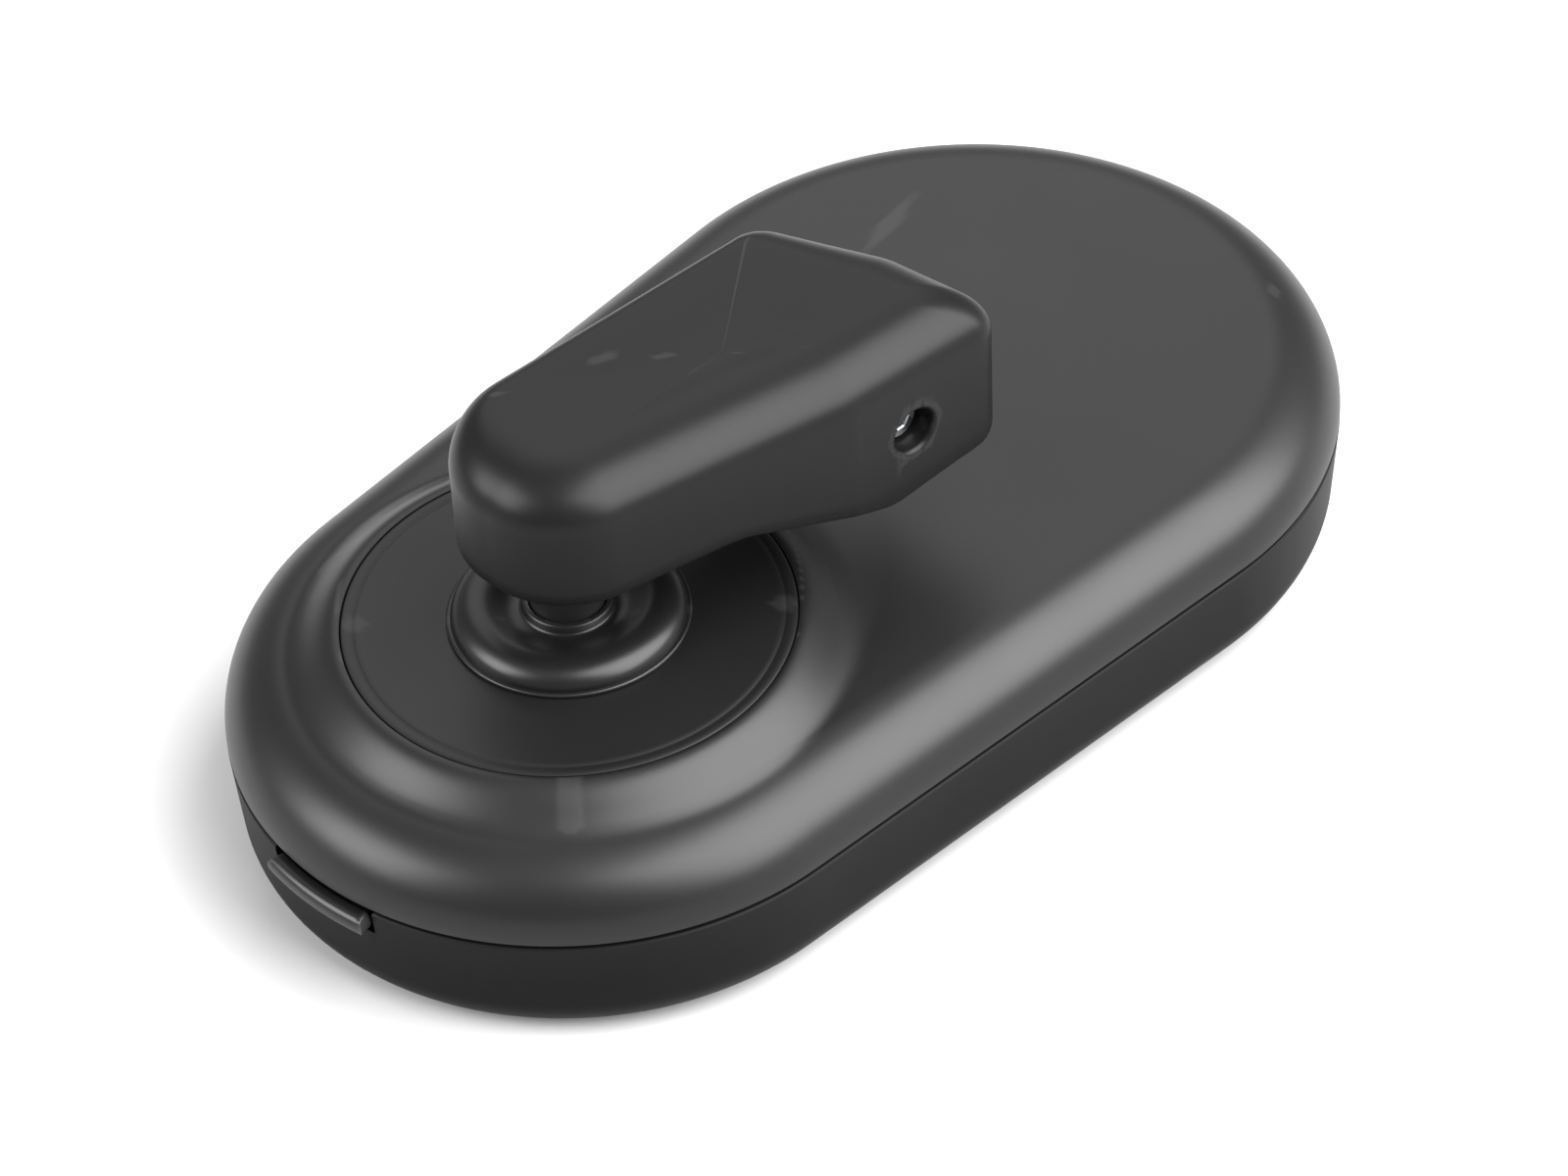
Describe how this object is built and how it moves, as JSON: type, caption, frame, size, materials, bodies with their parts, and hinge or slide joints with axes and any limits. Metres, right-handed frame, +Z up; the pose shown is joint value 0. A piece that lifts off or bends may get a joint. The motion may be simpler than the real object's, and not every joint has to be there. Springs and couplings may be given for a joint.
{
  "type": "thumb remote control",
  "caption": "Oval handlebar pod with a swinging, pressable thumb paddle on a booted post, an end push button and a coin-cell door.",
  "frame": {"origin": "middle of the flat underside of the case, on the handlebar clamp's seat plane", "axes": "+X along the case from the paddle's post to the wide end, +Z up out of the cover, -Z out of the underside"},
  "size_m": [0.0626, 0.0364, 0.0233],
  "materials": {
    "lower_shell": "fine satin moulding texture, near black",
    "upper_shell": "smooth satin moulding, near black",
    "paddle": "smooth satin moulding, near black",
    "button": "satin moulding, polished at the edge",
    "disc": "flat satin disc",
    "boot_rubber": "smooth moulded silicone",
    "seal_rubber": "matte black",
    "black_screw": "black oxide",
    "black_metal": "black satin",
    "steel": "bright",
    "cell": "nickel plated, fine radial brush",
    "brass": "machined",
    "aluminium": "bead-blasted",
    "nylon": "natural moulded nylon",
    "board": "solder mask"
  },
  "bodies": {
    "base": {"base_shell": "lower_shell", "top_cover": "upper_shell", "case_gasket": "seal_rubber", "case_screw_1": "black_screw", "case_screw_2": "black_screw", "case_screw_3": "black_screw", "case_screw_4": "black_screw", "bezel_disc": "disc", "boot": "boot_rubber", "pivot_bracket": "steel", "tilt_pin_left": "steel", "tilt_pin_right": "steel", "press_spring": "steel", "button_seal": "seal_rubber", "circuit_board": "board", "switch_up": "steel", "switch_down": "steel", "switch_press": "steel", "switch_function": "steel", "radio_shield": "steel", "control_chip": "black_metal", "coin_cell": "cell", "battery_holder": "nylon", "battery_contact_plus": "brass", "battery_contact_minus": "brass", "clamp_insert": "brass"},
    "cradle": {"tilt_cradle": "nylon", "centring_spring": "steel"},
    "paddle": {"post": "black_metal", "switch_cam": "nylon", "retaining_clip": "steel", "thrust_washer": "brass", "paddle": "paddle", "paddle_arm": "aluminium", "set_screw": "steel"},
    "button": {"function_button": "button"},
    "door": {"battery_door": "lower_shell", "door_seal": "seal_rubber"}
  },
  "joints": [
    {"name": "paddle_press", "type": "hinge", "parent": "base", "child": "cradle", "pos_m": [-0.0147, 0, 0.0072], "axis": [0, 1, 0], "range_deg": [0, 4], "stiffness_Nm_per_rad": 0.6, "deforming": ["press_spring"]},
    {"name": "paddle_swing", "type": "hinge", "parent": "cradle", "child": "paddle", "pos_m": [-0.0147, 0, 0.0072], "axis": [0, 0, 1], "range_deg": [-5, 5], "stiffness_Nm_per_rad": 0.6},
    {"name": "button_push", "type": "slide", "parent": "base", "child": "button", "axis": [1, 0, 0], "range_m": [0, 0.0006], "stiffness_N_per_m": 1500},
    {"name": "door_turn", "type": "hinge", "parent": "base", "child": "door", "pos_m": [0.0128, 0, 0], "axis": [0, 0, 1], "range_deg": [0, 40]}
  ]
}
